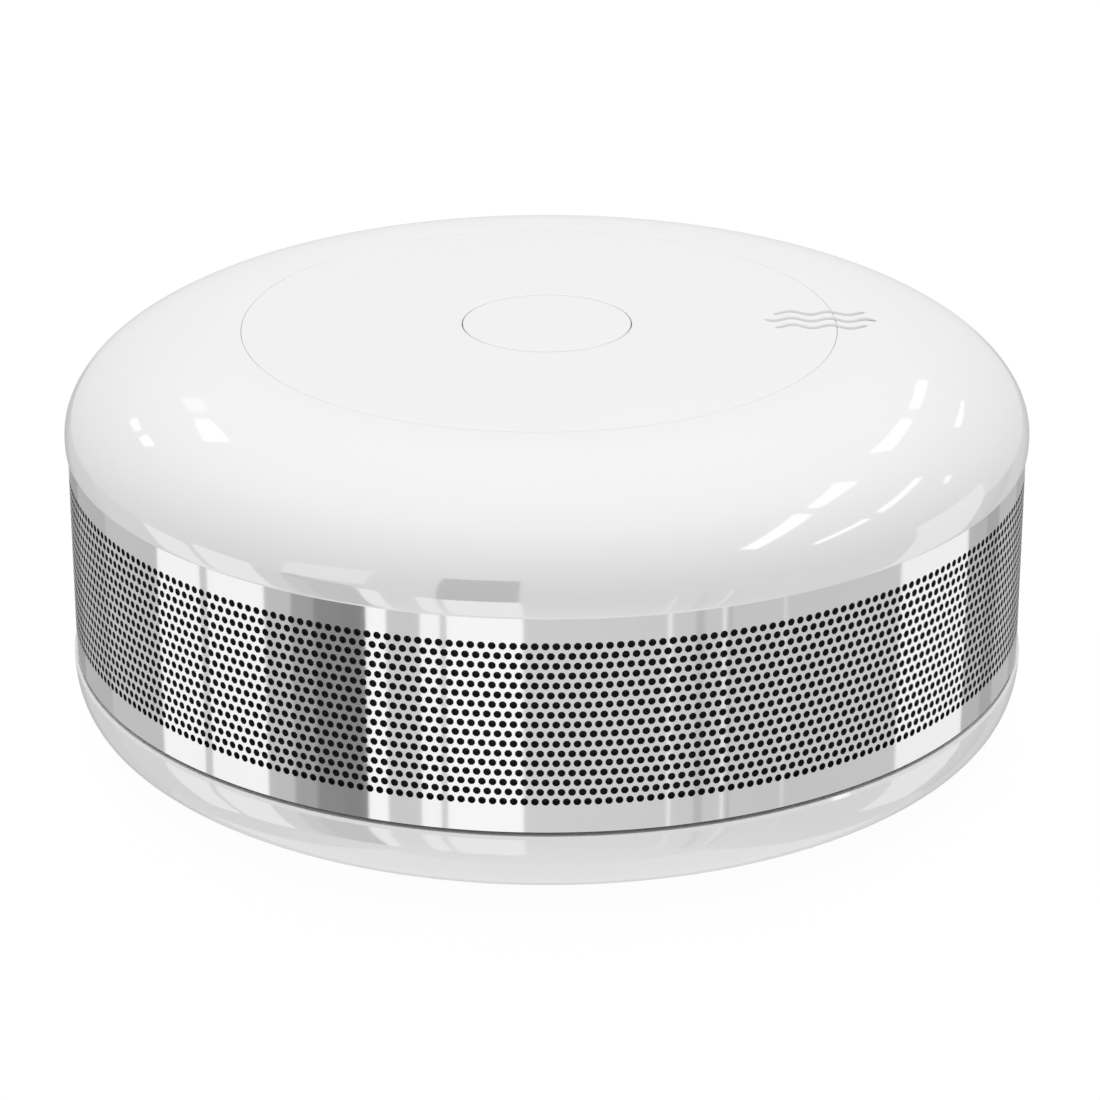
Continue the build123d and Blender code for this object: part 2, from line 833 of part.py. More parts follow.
with BuildPart() as radio_module:
    with BuildSketch(Plane.XY.offset(board_top)):
        with Locations(radio_place):
            Rectangle(radio_board[0], radio_board[1])
    extrude(amount=radio_board[2])
    with BuildSketch(Plane.XY.offset(board_top + radio_board[2])):
        with Locations(can_place):
            RectangleRounded(can_size[0], can_size[1], can_corner)
    extrude(amount=can_size[2])
    fillet(radio_module.edges().group_by(Axis.Z)[-1], can_edge)
radio_module.part.label = "radio_module"
export_step(radio_module.part, "parts/radio_module.step")

antenna_wire = 0.35
antenna_start = 210
antenna_end = 262
antenna_arc_radius = 27.0
antenna_height = 23.2

with BuildPart() as antenna:
    with BuildLine(Plane.XY.offset(antenna_height)):
        whip = CenterArc((0, 0), antenna_arc_radius, antenna_start, antenna_end - antenna_start)
    with BuildSketch(Plane(origin=whip @ 0, z_dir=whip % 0)):
        Circle(antenna_wire)
    sweep()
    with BuildSketch(Plane.XY.offset(board_top)):
        for angle in (antenna_start, antenna_end):
            with Locations(polar_point(antenna_arc_radius, angle)):
                Circle(antenna_wire)
    extrude(amount=antenna_height - board_top)
antenna.part.label = "antenna"
export_step(antenna.part, "parts/antenna.step")

# Parts under the board
bead_place = (-20.6, 1.6)
bead_height = 13.0
bead_radius = 0.9
lead_spacing = 0.8
lead_radius = 0.22
capacitor_place = (3.4, -21.6)
capacitor_radius = 3.0
capacitor_bottom = 11.5
capacitor_rounding = 0.4
inductor_place = (18.2, -0.2)
inductor_side = 5
inductor_corner = 1.2
inductor_height = 3

with BuildPart() as temperature_sensor:
    with Locations((*bead_place, bead_height)):
        Sphere(bead_radius)
    with BuildSketch(Plane.XY.offset(bead_height)):
        with Locations(bead_place):
            with GridLocations(lead_spacing, 0, 2, 1):
                Circle(lead_radius)
    extrude(amount=board_bottom - bead_height)
temperature_sensor.part.label = "temperature_sensor"
export_step(temperature_sensor.part, "parts/temperature_sensor.step")

with BuildPart() as storage_capacitor:
    with BuildSketch(Plane.XY.offset(capacitor_bottom)):
        with Locations(capacitor_place):
            Circle(capacitor_radius)
    extrude(amount=board_bottom - part_gap - capacitor_bottom)
    fillet(storage_capacitor.edges().group_by(Axis.Z)[0], capacitor_rounding)
storage_capacitor.part.label = "storage_capacitor"
export_step(storage_capacitor.part, "parts/storage_capacitor.step")

with BuildPart() as boost_inductor:
    with BuildSketch(Plane.XY.offset(board_bottom - inductor_height)):
        with Locations(inductor_place):
            RectangleRounded(inductor_side, inductor_side, inductor_corner)
    extrude(amount=inductor_height - part_gap)
boost_inductor.part.label = "boost_inductor"
export_step(boost_inductor.part, "parts/boost_inductor.step")

# Tamper pin: follows the ramp of the base and frees its switch as the head turns
pin_shoulder = 12.0
pin_collar = 2.1
collar_height = 0.6
pin_neck = 1.0
pin_top = 18.45
tamper_switch_bottom = 18.6
tamper_switch_size = (5, 4.6)
tamper_spring_radius = 1.6
tamper_spring_pitch = 0.95

with BuildPart() as tamper_plunger:
    with BuildSketch(Plane.XY.offset(pin_tip + pin_radius)):
        with Locations((pin_x, 0)):
            Circle(pin_radius)
    extrude(amount=pin_shoulder - pin_tip - pin_radius)
    with Locations((pin_x, 0, pin_tip + pin_radius)):
        Sphere(pin_radius)
    with BuildSketch(Plane.XY.offset(pin_shoulder)):
        with Locations((pin_x, 0)):
            Circle(pin_collar)
    extrude(amount=collar_height)
    with BuildSketch(Plane.XY.offset(pin_shoulder + collar_height)):
        with Locations((pin_x, 0)):
            Circle(pin_neck)
    extrude(amount=pin_top - pin_shoulder - collar_height)
tamper_plunger.part.label = "tamper_plunger"
export_step(tamper_plunger.part, "parts/tamper_plunger.step")

with BuildPart() as tamper_spring:
    with BuildLine():
        collar_top = pin_shoulder + collar_height
        tamper_coil = Helix(
            pitch=tamper_spring_pitch,
            height=tamper_switch_bottom - collar_top - 2 * (spring_wire + spring_end_gap),
            radius=tamper_spring_radius,
            center=(pin_x, 0, collar_top + spring_wire + spring_end_gap),
        )
    with BuildSketch(Plane(origin=tamper_coil @ 0, z_dir=tamper_coil % 0)):
        Circle(spring_wire)
    sweep()
tamper_spring.part.label = "tamper_spring"
export_step(tamper_spring.part, "parts/tamper_spring.step")

with BuildPart() as tamper_switch:
    with BuildSketch(Plane.XY.offset(tamper_switch_bottom)):
        with Locations((pin_x, 0)):
            RectangleRounded(*tamper_switch_size, chip_corner)
    extrude(amount=board_bottom - cover_clearance - tamper_switch_bottom)
tamper_switch.part.label = "tamper_switch"
export_step(tamper_switch.part, "parts/tamper_switch.step")
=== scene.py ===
import json
import math

import bpy
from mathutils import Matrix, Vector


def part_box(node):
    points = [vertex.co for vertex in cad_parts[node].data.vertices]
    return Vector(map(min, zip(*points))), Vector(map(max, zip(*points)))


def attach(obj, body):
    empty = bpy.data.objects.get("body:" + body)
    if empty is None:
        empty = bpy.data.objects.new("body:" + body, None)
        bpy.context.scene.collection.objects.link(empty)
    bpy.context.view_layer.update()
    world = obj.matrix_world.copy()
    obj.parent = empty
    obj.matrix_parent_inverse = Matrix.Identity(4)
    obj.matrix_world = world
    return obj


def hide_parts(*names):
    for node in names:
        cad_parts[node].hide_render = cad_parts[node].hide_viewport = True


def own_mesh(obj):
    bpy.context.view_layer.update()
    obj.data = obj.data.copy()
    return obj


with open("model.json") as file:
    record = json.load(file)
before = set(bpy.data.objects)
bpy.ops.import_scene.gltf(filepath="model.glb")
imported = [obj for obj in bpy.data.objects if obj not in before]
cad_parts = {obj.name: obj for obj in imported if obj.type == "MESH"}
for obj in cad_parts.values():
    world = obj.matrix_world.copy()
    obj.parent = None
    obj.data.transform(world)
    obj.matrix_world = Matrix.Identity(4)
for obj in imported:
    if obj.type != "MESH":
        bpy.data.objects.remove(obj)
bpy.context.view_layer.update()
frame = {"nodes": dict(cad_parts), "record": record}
mm = 0.001
nodes = frame["nodes"]
slotOf = {part["node"]: part["material_slot"] for part in frame["record"]["subparts"]}
print("frame loaded,", len(nodes), "nodes")


# ---- small tools used by every piece

def deselect():
    for thing in bpy.context.selected_objects:
        thing.select_set(False)


def use(piece):
    deselect()
    piece.select_set(True)
    bpy.context.view_layer.objects.active = piece


def settle(piece):
    # put the piece's place and size into its mesh
    use(piece)
    bpy.ops.object.transform_apply(location=True, rotation=True, scale=True)


def pick(piece, what, test):
    # select vertices or faces of a piece by a test on their place, and stay in edit mode
    bpy.ops.object.mode_set(mode="EDIT")
    bpy.ops.mesh.select_mode(type=what)
    bpy.ops.mesh.select_all(action="DESELECT")
    bpy.ops.object.mode_set(mode="OBJECT")
    chosen = 0
    if what == "VERT":
        for vertex in piece.data.vertices:
            vertex.select = test(vertex.co)
            chosen += vertex.select
    else:
        for face in piece.data.polygons:
            face.select = test(face.center)
            chosen += face.select
    bpy.ops.object.mode_set(mode="EDIT")
    return chosen


def applyModifier(piece, kind, name, **settings):
    modifier = piece.modifiers.new(name, kind)
    for key, value in settings.items():
        setattr(modifier, key, value)
    use(piece)
    bpy.ops.object.modifier_apply(modifier=name)


def smooth(piece, degrees):
    use(piece)
    bpy.ops.object.shade_smooth_by_angle(angle=math.radians(degrees))


def bezierPoints(start, startHandle, endHandle, end, count):
    # points after the first along a cubic, as (radius, height)
    points = []
    for index in range(1, count + 1):
        t = index / count
        s = 1 - t
        points.append(tuple(
            s ** 3 * a + 3 * s * s * t * b + 3 * s * t * t * c + t ** 3 * d
            for a, b, c, d in zip(start, startHandle, endHandle, end)
        ))
    return points


def arcPoints(center, radius, startDegrees, endDegrees, count):
    points = []
    for index in range(count + 1):
        angle = math.radians(startDegrees + (endDegrees - startDegrees) * index / count)
        points.append((center[0] + radius * math.cos(angle), center[1] + radius * math.sin(angle)))
    return points


def turned(name, outline, shiftAt, steps=288, poles=()):
    # turns an outline of (radius, height) in millimetres about the upright axis; shiftAt gives
    # how far a ring's centre stands off the axis, and the ring at each end in poles is closed
    radius, height = outline[0]
    deselect()
    bpy.ops.mesh.primitive_circle_add(
        vertices=steps, radius=radius * mm, fill_type="NOTHING",
        location=(shiftAt(radius) * mm, 0, height * mm),
    )
    piece = bpy.context.object
    piece.name = name
    piece.data.name = name
    settle(piece)
    bpy.ops.object.mode_set(mode="EDIT")
    bpy.ops.mesh.select_all(action="SELECT")
    for (r0, z0), (r1, z1) in zip(outline, outline[1:]):
        move = ((shiftAt(r1) - shiftAt(r0)) * mm, 0, (z1 - z0) * mm)
        bpy.ops.mesh.extrude_edges_move(TRANSFORM_OT_translate={"value": move})
        bpy.ops.transform.resize(
            value=(r1 / r0, r1 / r0, 1), center_override=(shiftAt(r1) * mm, 0, z1 * mm)
        )
    if "end" in poles:
        bpy.ops.mesh.merge(type="CENTER")
    if "start" in poles:
        edge = radius * mm * 1.01
        pick(piece, "VERT", lambda co: abs(co.z - height * mm) < 1e-7 and math.hypot(co.x, co.y) < edge)
        bpy.ops.mesh.merge(type="CENTER")
    bpy.ops.mesh.select_all(action="SELECT")
    bpy.ops.mesh.remove_doubles(threshold=1e-7)
    bpy.ops.mesh.normals_make_consistent(inside=False)
    bpy.ops.object.mode_set(mode="OBJECT")
    return piece


# ---- shader arithmetic

class Wire:
    # a shader socket that can be used in ordinary sums
    def __init__(self, tree, socket=None):
        self.tree = tree
        self.socket = socket

    def make(self, kind, settings=None, sockets=None, output=0):
        node = self.tree.nodes.new(kind)
        for key, value in (settings or {}).items():
            if key == "stops":
                ramp = node.color_ramp
                while len(ramp.elements) < len(value):
                    ramp.elements.new(0.5)
                for element, (position, color) in zip(ramp.elements, value):
                    element.position = position
                    element.color = color
            else:
                setattr(node, key, value)
        for key, value in (sockets or {}).items():
            if isinstance(value, Wire):
                self.tree.links.new(value.socket, node.inputs[key])
            else:
                node.inputs[key].default_value = value
        return Wire(self.tree, node.outputs[output]) if len(node.outputs) else None

    def calc(self, operation, *values):
        return self.make("ShaderNodeMath", {"operation": operation}, dict(enumerate(values)))

    def __add__(self, other):
        return self.calc("ADD", self, other)

    def __radd__(self, other):
        return self.calc("ADD", other, self)

    def __sub__(self, other):
        return self.calc("SUBTRACT", self, other)

    def __rsub__(self, other):
        return self.calc("SUBTRACT", other, self)

    def __mul__(self, other):
        return self.calc("MULTIPLY", self, other)

    def __rmul__(self, other):
        return self.calc("MULTIPLY", other, self)

    def __truediv__(self, other):
        return self.calc("DIVIDE", self, other)

    def __rtruediv__(self, other):
        return self.calc("DIVIDE", other, self)

    def noise(self, scale, detail=3.0, roughness=0.5, where=None):
        place = where or self.make("ShaderNodeTexCoord", output="Object")
        return self.make(
            "ShaderNodeTexNoise", {"noise_dimensions": "3D"},
            {"Vector": place, "Scale": scale, "Detail": detail, "Roughness": roughness},
        )

    def blendColor(self, first, second):
        # self is the factor
        return self.make(
            "ShaderNodeMix", {"data_type": "RGBA"}, {0: self, 6: first, 7: second}, output=2
        )

    def bump(self, distance, strength=1.0):
        return self.make("ShaderNodeBump", {}, {"Height": self, "Distance": distance, "Strength": strength})


def newFinish(name):
    material = bpy.data.materials.new(name)
    material.use_nodes = True
    material.node_tree.nodes.clear()
    return material, Wire(material.node_tree)


def finishWith(material, wire, **sockets):
    # the surface shader; a keyword's underscores stand for the spaces in a socket's name
    named = {key.replace("_", " "): value for key, value in sockets.items()}
    surface = wire.make("ShaderNodeBsdfPrincipled", {}, named)
    wire.make("ShaderNodeOutputMaterial", {}, {"Surface": surface})
    return material


patternRadius = 0.0323    # metres, at which patterns that run round the band keep their scale


def around(wire):
    # place on the band as (arc length, height) in metres
    place = wire.make("ShaderNodeTexCoord", output="Object")
    split = wire.make("ShaderNodeSeparateXYZ", {}, {0: place})
    across = Wire(wire.tree, split.socket.node.outputs["Y"])
    upright = Wire(wire.tree, split.socket.node.outputs["Z"])
    angle = wire.calc("ARCTAN2", across, split)
    return angle * patternRadius, upright


# ---- finishes, one for each slot of the record

whiteShell = {
    "tone": (0.775, 0.775, 0.772, 1),
    "warmTone": (0.76, 0.76, 0.754, 1),
    "cloudScale": 60,
    "smearScale": 420,
    "smearMiddle": 0.3,
    "roughness": 0.05,
    "roughnessSpread": 0.04,
    "peelScale": 1500,
    "peelDepth": 0.0000006,
    "IOR": 3.8,               # mirrors more than plain plastic, for a deep gloss
}


def makeWhiteShell(name):
    material, wire = newFinish(name)
    cloud = wire.noise(whiteShell["cloudScale"], 2)
    smear = wire.noise(whiteShell["smearScale"], 4, 0.6)
    peel = wire.noise(whiteShell["peelScale"], 2)
    spread = whiteShell["roughnessSpread"]
    return finishWith(
        material, wire,
        Base_Color=cloud.blendColor(whiteShell["tone"], whiteShell["warmTone"]),
        Roughness=whiteShell["roughness"] + spread * (smear - whiteShell["smearMiddle"]),
        IOR=whiteShell["IOR"],
        Normal=peel.bump(whiteShell["peelDepth"]),
    )


mattePlastic = {
    "grainScale": 9000,
    "grainDepth": 0.000006,
    "cloudScale": 150,
    "roughness": 0.5,
    "roughnessSpread": 0.15,
}


def makeMattePlastic(name, tone, secondTone, roughness=mattePlastic["roughness"]):
    material, wire = newFinish(name)
    grain = wire.noise(mattePlastic["grainScale"], 3)
    cloud = wire.noise(mattePlastic["cloudScale"], 3)
    return finishWith(
        material, wire,
        Base_Color=cloud.blendColor(tone, secondTone),
        Roughness=roughness + mattePlastic["roughnessSpread"] * (cloud - 0.5),
        Normal=grain.bump(mattePlastic["grainDepth"]),
    )


polishedSteel = {
    "tone": (0.93, 0.93, 0.925, 1),
    "darkTone": (0.86, 0.865, 0.87, 1),
    "cloudScale": 180,
    "cloudShare": 0.7,        # of the tone's change; the streaks make the rest
    "streakShare": 0.3,
    "streakAlong": 90,        # the polishing lines are long round the band and fine up it
    "streakUp": 9000,
    "streakDepth": 0.00000006,
    "roughness": 0.045,
    "roughnessSpread": 0.03,
}


def makePolishedSteel(name):
    material, wire = newFinish(name)
    along, upright = around(wire)
    streakPlace = wire.make("ShaderNodeCombineXYZ", {}, {
        "X": along * polishedSteel["streakAlong"],
        "Y": upright * polishedSteel["streakUp"],
    })
    streak = wire.noise(1.0, 4, 0.6, streakPlace)
    cloud = wire.noise(polishedSteel["cloudScale"], 3)
    worn = polishedSteel["cloudShare"] * cloud + polishedSteel["streakShare"] * streak
    return finishWith(
        material, wire,
        Base_Color=worn.blendColor(polishedSteel["tone"], polishedSteel["darkTone"]),
        Metallic=1.0,
        Roughness=polishedSteel["roughness"] + polishedSteel["roughnessSpread"] * streak,
        Normal=streak.bump(polishedSteel["streakDepth"]),
    )


drawnMetal = {
    "drawScale": 3000,
    "drawDepth": 0.0000015,
    "cloudScale": 260,
    "roughnessSpread": 0.18,
}


def makeWireMetal(name, tone, secondTone, roughness):
    material, wire = newFinish(name)
    draw = wire.noise(drawnMetal["drawScale"], 4, 0.7)
    cloud = wire.noise(drawnMetal["cloudScale"], 2)
    return finishWith(
        material, wire,
        Base_Color=cloud.blendColor(tone, secondTone),
        Metallic=1.0,
        Roughness=roughness + drawnMetal["roughnessSpread"] * (draw - 0.5),
        Normal=draw.bump(drawnMetal["drawDepth"]),
    )


insectMesh = {
    "pitch": 0.00025,
    "threadEdge": 0.86,       # height of the wave above which a thread shows
    "threadDepth": 0.00004,
    "wireTone": (0.016, 0.016, 0.017, 1),
    # painted shade: the openings between threads are painted near-black for the dark inside seen through
    # the mesh
    "openingShadeTone": (0.002, 0.002, 0.002, 1),
    "dustScale": 700,
    "roughness": 0.6,
    "roughnessSpread": 0.25,
}


def makeInsectMesh(name):
    material, wire = newFinish(name)
    along, upright = around(wire)
    turns = math.tau / insectMesh["pitch"]
    waveA = wire.calc("ABSOLUTE", wire.calc("SINE", along * turns / 2))
    waveB = wire.calc("ABSOLUTE", wire.calc("SINE", upright * turns / 2))
    thread = wire.calc("MAXIMUM", waveA, waveB)
    mask = wire.calc("GREATER_THAN", thread, insectMesh["threadEdge"])
    dust = wire.noise(insectMesh["dustScale"], 3)
    # the threads' colour, with painted shade in the openings between them
    return finishWith(
        material, wire,
        Base_Color=mask.blendColor(insectMesh["openingShadeTone"], insectMesh["wireTone"]),
        Roughness=insectMesh["roughness"] + insectMesh["roughnessSpread"] * dust,
        Normal=thread.bump(insectMesh["threadDepth"]),
    )


circuitBoard = {
    "mask": (0.008, 0.09, 0.035, 1),
    "trace": (0.02, 0.17, 0.07, 1),
    "traceScale": 420,
    "tracesPerCell": 4,
    "traceEdge": 0.6,
    "traceDepth": 0.00003,
    "smudgeScale": 600,
    "roughness": 0.28,
    "roughnessSpread": 0.1,
}


def makeCircuitBoard(name):
    material, wire = newFinish(name)
    place = wire.make("ShaderNodeTexCoord", output="Object")
    cells = wire.make(
        "ShaderNodeTexVoronoi", {"distance": "CHEBYCHEV", "feature": "F1"},
        {"Vector": place, "Scale": circuitBoard["traceScale"]},
    )
    rings = wire.calc("FRACT", cells * circuitBoard["tracesPerCell"])
    trace = wire.calc("GREATER_THAN", rings, circuitBoard["traceEdge"])
    smudge = wire.noise(circuitBoard["smudgeScale"])
    return finishWith(
        material, wire,
        Base_Color=trace.blendColor(circuitBoard["mask"], circuitBoard["trace"]),
        Roughness=circuitBoard["roughness"] + circuitBoard["roughnessSpread"] * smudge,
        Normal=trace.bump(circuitBoard["traceDepth"]),
    )


clearPlastic = {
    "tone": (0.86, 0.9, 0.93, 1),
    "hazeTone": (0.78, 0.83, 0.88, 1),
    "hazeScale": 900,
    "hazeDepth": 0.000002,
    "roughness": 0.08,
    "roughnessSpread": 0.12,
    "clearness": 0.6,
    "IOR": 1.49,
}


def makeClearPlastic(name):
    material, wire = newFinish(name)
    haze = wire.noise(clearPlastic["hazeScale"], 3)
    return finishWith(
        material, wire,
        Base_Color=haze.blendColor(clearPlastic["tone"], clearPlastic["hazeTone"]),
        Roughness=clearPlastic["roughness"] + clearPlastic["roughnessSpread"] * haze,
        Transmission_Weight=clearPlastic["clearness"],
        IOR=clearPlastic["IOR"],
        Normal=haze.bump(clearPlastic["hazeDepth"]),
    )


cellSleeve = {
    "tone": (0.03, 0.045, 0.12, 1),
    "endTone": (0.42, 0.43, 0.45, 1),
    "endStart": 0.009,        # metres along the cell where the plain end starts
    "filmScale": 1200,
    "filmDepth": 0.000004,
    "roughness": 0.22,
    "roughnessSpread": 0.15,
}


def makeCellSleeve(name):
    material, wire = newFinish(name)
    place = wire.make("ShaderNodeTexCoord", output="Object")
    split = wire.make("ShaderNodeSeparateXYZ", {}, {0: place})
    plainEnd = wire.calc("GREATER_THAN", split, cellSleeve["endStart"])
    film = wire.noise(cellSleeve["filmScale"], 3)
    return finishWith(
        material, wire,
        Base_Color=plainEnd.blendColor(cellSleeve["tone"], cellSleeve["endTone"]),
        Roughness=cellSleeve["roughness"] + cellSleeve["roughnessSpread"] * film,
        Normal=film.bump(cellSleeve["filmDepth"]),
    )


finishes = {
    "shell": makeWhiteShell("whiteShell"),
    "inner_shell": makeMattePlastic("innerWhite", (0.72, 0.72, 0.71, 1), (0.68, 0.68, 0.67, 1)),
    "dark_plastic": makeMattePlastic("blackPlastic", (0.012, 0.012, 0.013, 1), (0.02, 0.02, 0.021, 1)),
    "dark_mesh": makeInsectMesh("insectMesh"),
    "polished_steel": makePolishedSteel("polishedSteel"),
    "spring_steel": makeWireMetal("springSteel", (0.5, 0.5, 0.51, 1), (0.42, 0.42, 0.43, 1), 0.3),
    "clear_plastic": makeClearPlastic("clearPlastic"),
    "circuit_board": makeCircuitBoard("circuitBoard"),
    "zinc_steel": makeWireMetal("zincSteel", (0.62, 0.63, 0.64, 1), (0.52, 0.53, 0.55, 1), 0.32),
    "dark_resin": makeMattePlastic("darkResin", (0.018, 0.018, 0.02, 1), (0.03, 0.03, 0.031, 1), 0.35),
    "brass_disc": makeWireMetal("brassDisc", (0.62, 0.43, 0.15, 1), (0.5, 0.33, 0.11, 1), 0.28),
    "piezo_ceramic": makeMattePlastic("piezoCeramic", (0.6, 0.6, 0.57, 1), (0.5, 0.5, 0.48, 1), 0.4),
    "cell_wrap": makeCellSleeve("cellSleeve"),
    "nickel_contact": makeWireMetal("nickelContact", (0.62, 0.6, 0.55, 1), (0.52, 0.5, 0.46, 1), 0.25),
    "shield_can": makeWireMetal("shieldCan", (0.6, 0.6, 0.6, 1), (0.5, 0.5, 0.51, 1), 0.34),
}
for nodeName, part in nodes.items():
    for materialSlot in part.material_slots:
        materialSlot.material = finishes[slotOf[nodeName]]
print("finishes set")


def finishPiece(piece, body, slotName, *replaced):
    piece.data.materials.clear()
    piece.data.materials.append(finishes[slotName])
    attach(piece, body)
    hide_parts(*replaced)


# ---- the dome: housing ring, off-centre cap and button, which share one crown

dome = {
    "crownRadius": 19.39,     # the crown falls by crownDrop out to this radius
    "crownDrop": 0.13,
    "crownStart": 20.2,       # rings of the crown on the housing, out to where the shoulder starts
    "crownEnd": 21.0,
    "shoulderRun": 5.4,       # handles of the shoulder's curve
    "shoulderRise": 3.8,
    "widestHeight": 21.19,
    "lip": ((0.005, 20.95), (0.018, 20.72), (0.035, 20.6), (0.07, 20.53), (0.17, 20.5)),   # inset, height
    "lipInside": 32.03,
    "ledgeInside": 31.0,
    "ledgeHeight": 20.55,
    "wallInside": 30.7,
    "wallBend": 23.6,         # handles of the curve from the wall to the ceiling
    "ceilingBend": 25.5,
    "ceiling": 25.4,
    "bore": 18.4,
    "capRadius": 19.955,
    "capGap": 0.02,
    "capSeat": 26.5,
    "capEdge": 0.04,          # rounding beside the fine gap
    "capCrownStart": 6.2,     # rings of the crown on the cap, out to just inside its rim
    "capRimRun": 0.2,
    "capSkirt": (17.5, 18.3),
    "seatPlay": 0.02,
    "buttonHole": 5.7,
    "buttonEdge": 0.07,
}
# the cap stands off the dome's axis: how far, and over which radii the rings move back
capShift = {"offset": -0.52, "fadeEnd": 24.0, "fadeRun": 3.9, "growStart": 6.0, "growRun": 13.5}
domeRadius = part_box("front_housing")[1].x / mm - 0.001
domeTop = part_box("test_button")[1].z / mm


def crownHeight(radius):
    return domeTop - dome["crownDrop"] * (radius / dome["crownRadius"]) ** 2


def eased(share):
    share = min(max(share, 0), 1)
    return share * share * (3 - 2 * share)


def capShiftAt(radius):
    # rings follow the cap's centre at the cap, and the dome's own axis further out
    return capShift["offset"] * eased((capShift["fadeEnd"] - radius) / capShift["fadeRun"])


def buttonShiftAt(radius):
    # rings follow the dome's own axis at the button, and the cap's centre further out
    return capShift["offset"] * eased((radius - capShift["growStart"]) / capShift["growRun"])


def crownRun(startRadius, endRadius, count):
    step = (endRadius - startRadius) / count
    radii = [startRadius + step * index for index in range(count + 1)]
    return [(radius, crownHeight(radius)) for radius in radii]


def makeFrontHousing():
    edge = dome["capEdge"]
    seat = dome["capSeat"]
    bore = dome["bore"]
    ceiling = dome["ceiling"]
    opening = dome["capRadius"] + dome["capGap"]
    rimTop = crownHeight(opening)
    outline = [(bore, ceiling), (bore, seat), (opening, seat), (opening, rimTop - edge)]
    outline += arcPoints((opening + edge, rimTop - edge), edge, 180, 90, 4)[1:]
    # crown and shoulder
    crownEnd = (dome["crownEnd"], crownHeight(dome["crownEnd"]))
    outline += crownRun(dome["crownStart"], crownEnd[0], 2)
    slope = 2 * dome["crownDrop"] * crownEnd[0] / dome["crownRadius"] ** 2
    crownHandle = (crownEnd[0] + dome["shoulderRun"], crownEnd[1] - dome["shoulderRun"] * slope)
    widest = (domeRadius, dome["widestHeight"])
    widestHandle = (widest[0], widest[1] + dome["shoulderRise"])
    outline += bezierPoints(crownEnd, crownHandle, widestHandle, widest, 40)
    # the thin lip over the band, then back up inside
    outline += [(domeRadius - inset, height) for inset, height in dome["lip"]]
    outline += [(dome["lipInside"], dome["lip"][-1][1]), (dome["lipInside"], dome["ledgeHeight"])]
    wallFoot = (dome["wallInside"], dome["widestHeight"])
    outline += [(dome["ledgeInside"], dome["ledgeHeight"]), wallFoot]
    wallHandle = (dome["wallInside"], dome["wallBend"])
    ceilingHandle = (dome["ceilingBend"], ceiling)
    outline += bezierPoints(wallFoot, wallHandle, ceilingHandle, (dome["crownRadius"], ceiling), 16)
    outline.append((bore, ceiling))
    piece = turned("frontHousing", outline, capShiftAt)
    smooth(piece, 35)
    finishPiece(piece, "head", "shell", "front_housing")


def makeFrontCap():
    edge = dome["capEdge"]
    holeEdge = dome["buttonEdge"]
    hole = dome["buttonHole"]
    holeTop = crownHeight(hole)
    rim = dome["capRadius"]
    rimTop = crownHeight(rim)
    top = dome["capSeat"] + dome["seatPlay"]
    bottom = dome["capSeat"] - dome["seatPlay"]
    skirtInside, skirtOutside = dome["capSkirt"]
    outline = [(hole, bottom), (hole, holeTop - holeEdge)]
    outline += arcPoints((hole + holeEdge, holeTop - holeEdge), holeEdge, 180, 90, 4)[1:]
    outline += crownRun(dome["capCrownStart"], rim - dome["capRimRun"], 26)
    outline += arcPoints((rim - edge, rimTop - edge), edge, 90, 0, 4)
    outline += [(rim, top), (skirtOutside, top), (skirtOutside, dome["ceiling"])]
    outline += [(skirtInside, dome["ceiling"]), (skirtInside, bottom), (hole, bottom)]
    piece = turned("frontCap", outline, buttonShiftAt)
    smooth(piece, 35)
    finishPiece(piece, "head", "shell", "front_cap")


button = {
    "radius": 5.645,
    "rimRun": 0.25,
    "plateBottom": 26.6,
    "flangeRadius": 6.1,
    "flangeTop": 26.2,
    "skirtInside": 4.9,
    "skirtBottom": 25.3,
    "stemRadius": 1.5,
    "stemBottom": 23.95,
    "poleTop": 0.15,          # rings that close to a point above and below
    "poleBottom": 0.2,
}


def makeTestButton():
    edge = dome["buttonEdge"]
    rim = button["radius"]
    rimTop = crownHeight(rim)
    flange = button["flangeRadius"]
    inside = button["skirtInside"]
    stem = button["stemRadius"]
    outline = crownRun(button["poleTop"], rim - button["rimRun"], 12)
    outline += arcPoints((rim - edge, rimTop - edge), edge, 90, 0, 5)
    outline += [(rim, button["flangeTop"]), (flange, button["flangeTop"]), (flange, button["skirtBottom"])]
    outline += [(inside, button["skirtBottom"]), (inside, button["plateBottom"])]
    outline += [(stem, button["plateBottom"]), (stem, button["stemBottom"])]
    outline.append((button["poleBottom"], button["stemBottom"]))
    piece = turned("testButton", outline, lambda radius: 0, 192, ("start", "end"))
    smooth(piece, 35)
    finishPiece(piece, "button", "shell", "test_button")


makeFrontHousing()
makeFrontCap()
makeTestButton()
print("dome made")


# ---- the band: one column of cells, repeated along a strip, bent round and given its thickness

band = {
    "holesAround": 310,
    "rows": 17,
    "firstRow": 8.18,
    "rowPitch": 0.656,
    "holeRadius": 0.255,
    "thickness": 0.1,
    "bottomGap": 0.08,        # the band stops this far short of the shadow gap's edge
    "columnMerge": 0.000002,  # metres within which neighbouring corners become one
    "ringMerge": 0.000005,
}


